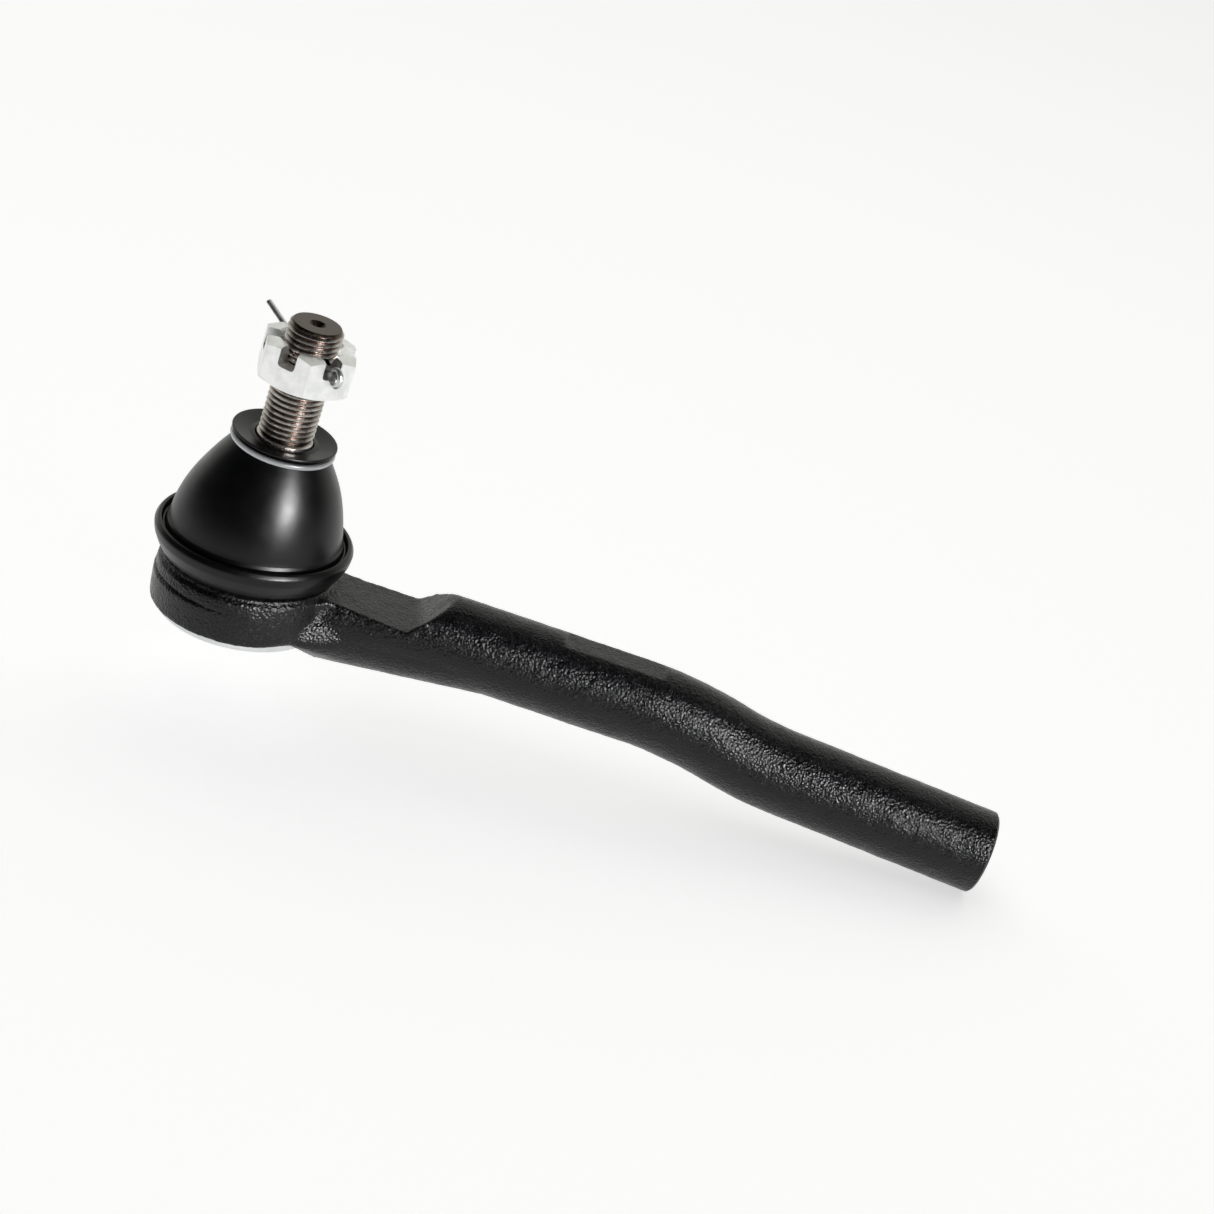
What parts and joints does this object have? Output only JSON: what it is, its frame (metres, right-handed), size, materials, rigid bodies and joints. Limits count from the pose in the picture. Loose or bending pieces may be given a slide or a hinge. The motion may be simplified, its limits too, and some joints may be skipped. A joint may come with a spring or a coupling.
{
  "type": "tie rod end",
  "caption": "Outer tie rod end: forged head and cranked threaded shank, ball stud under a rubber dust boot, castle nut and cotter pin.",
  "frame": {"origin": "middle of the end cover's outer face, on the housing axis", "axes": "+Z along the housing axis towards the stud, +X along the shank towards the threaded tube, +Y to the left of the shank"},
  "size_m": [0.1955, 0.0434, 0.0898],
  "materials": {
    "painted_forging": "semi-gloss black paint over a rough forged skin",
    "seat_plastic": "natural acetal, satin",
    "spring_steel": "oiled spring wire",
    "plated_cover": "bright zinc plate",
    "boot_rubber": "satin black rubber",
    "dark_wire": "blackened wire",
    "pale_ring": "pale grey, smooth",
    "stud_steel": "machined steel with a light brown tint",
    "zinc_plate": "bright zinc plate",
    "pin_wire": "zinc-plated soft wire"
  },
  "bodies": {
    "head": {"housing": "painted_forging", "upper_seat": "seat_plastic", "lower_seat": "seat_plastic", "preload_spring": "spring_steel", "end_cover": "plated_cover", "boot_lower_ring": "dark_wire"},
    "boot": {"dust_boot": "boot_rubber"},
    "collar": {"boot_upper_ring": "pale_ring"},
    "stud": {"ball_stud": "stud_steel", "castle_nut": "zinc_plate", "cotter_pin": "pin_wire"}
  },
  "joints": [
    {"name": "stud_rock", "type": "hinge", "parent": "head", "child": "boot", "pos_m": [0, 0, 0.0175], "axis": [0, 1, 0], "range_deg": [-24.2, 15.8], "deforming": ["dust_boot"]},
    {"name": "stud_roll", "type": "hinge", "parent": "boot", "child": "collar", "pos_m": [0, 0, 0.0175], "axis": [0.9973, 0, -0.0732], "range_deg": [-20, 20], "deforming": ["dust_boot"]},
    {"name": "stud_spin", "type": "hinge", "parent": "collar", "child": "stud", "pos_m": [0, 0, 0.0175], "axis": [0.0732, 0, 0.9973], "continuous": true}
  ]
}
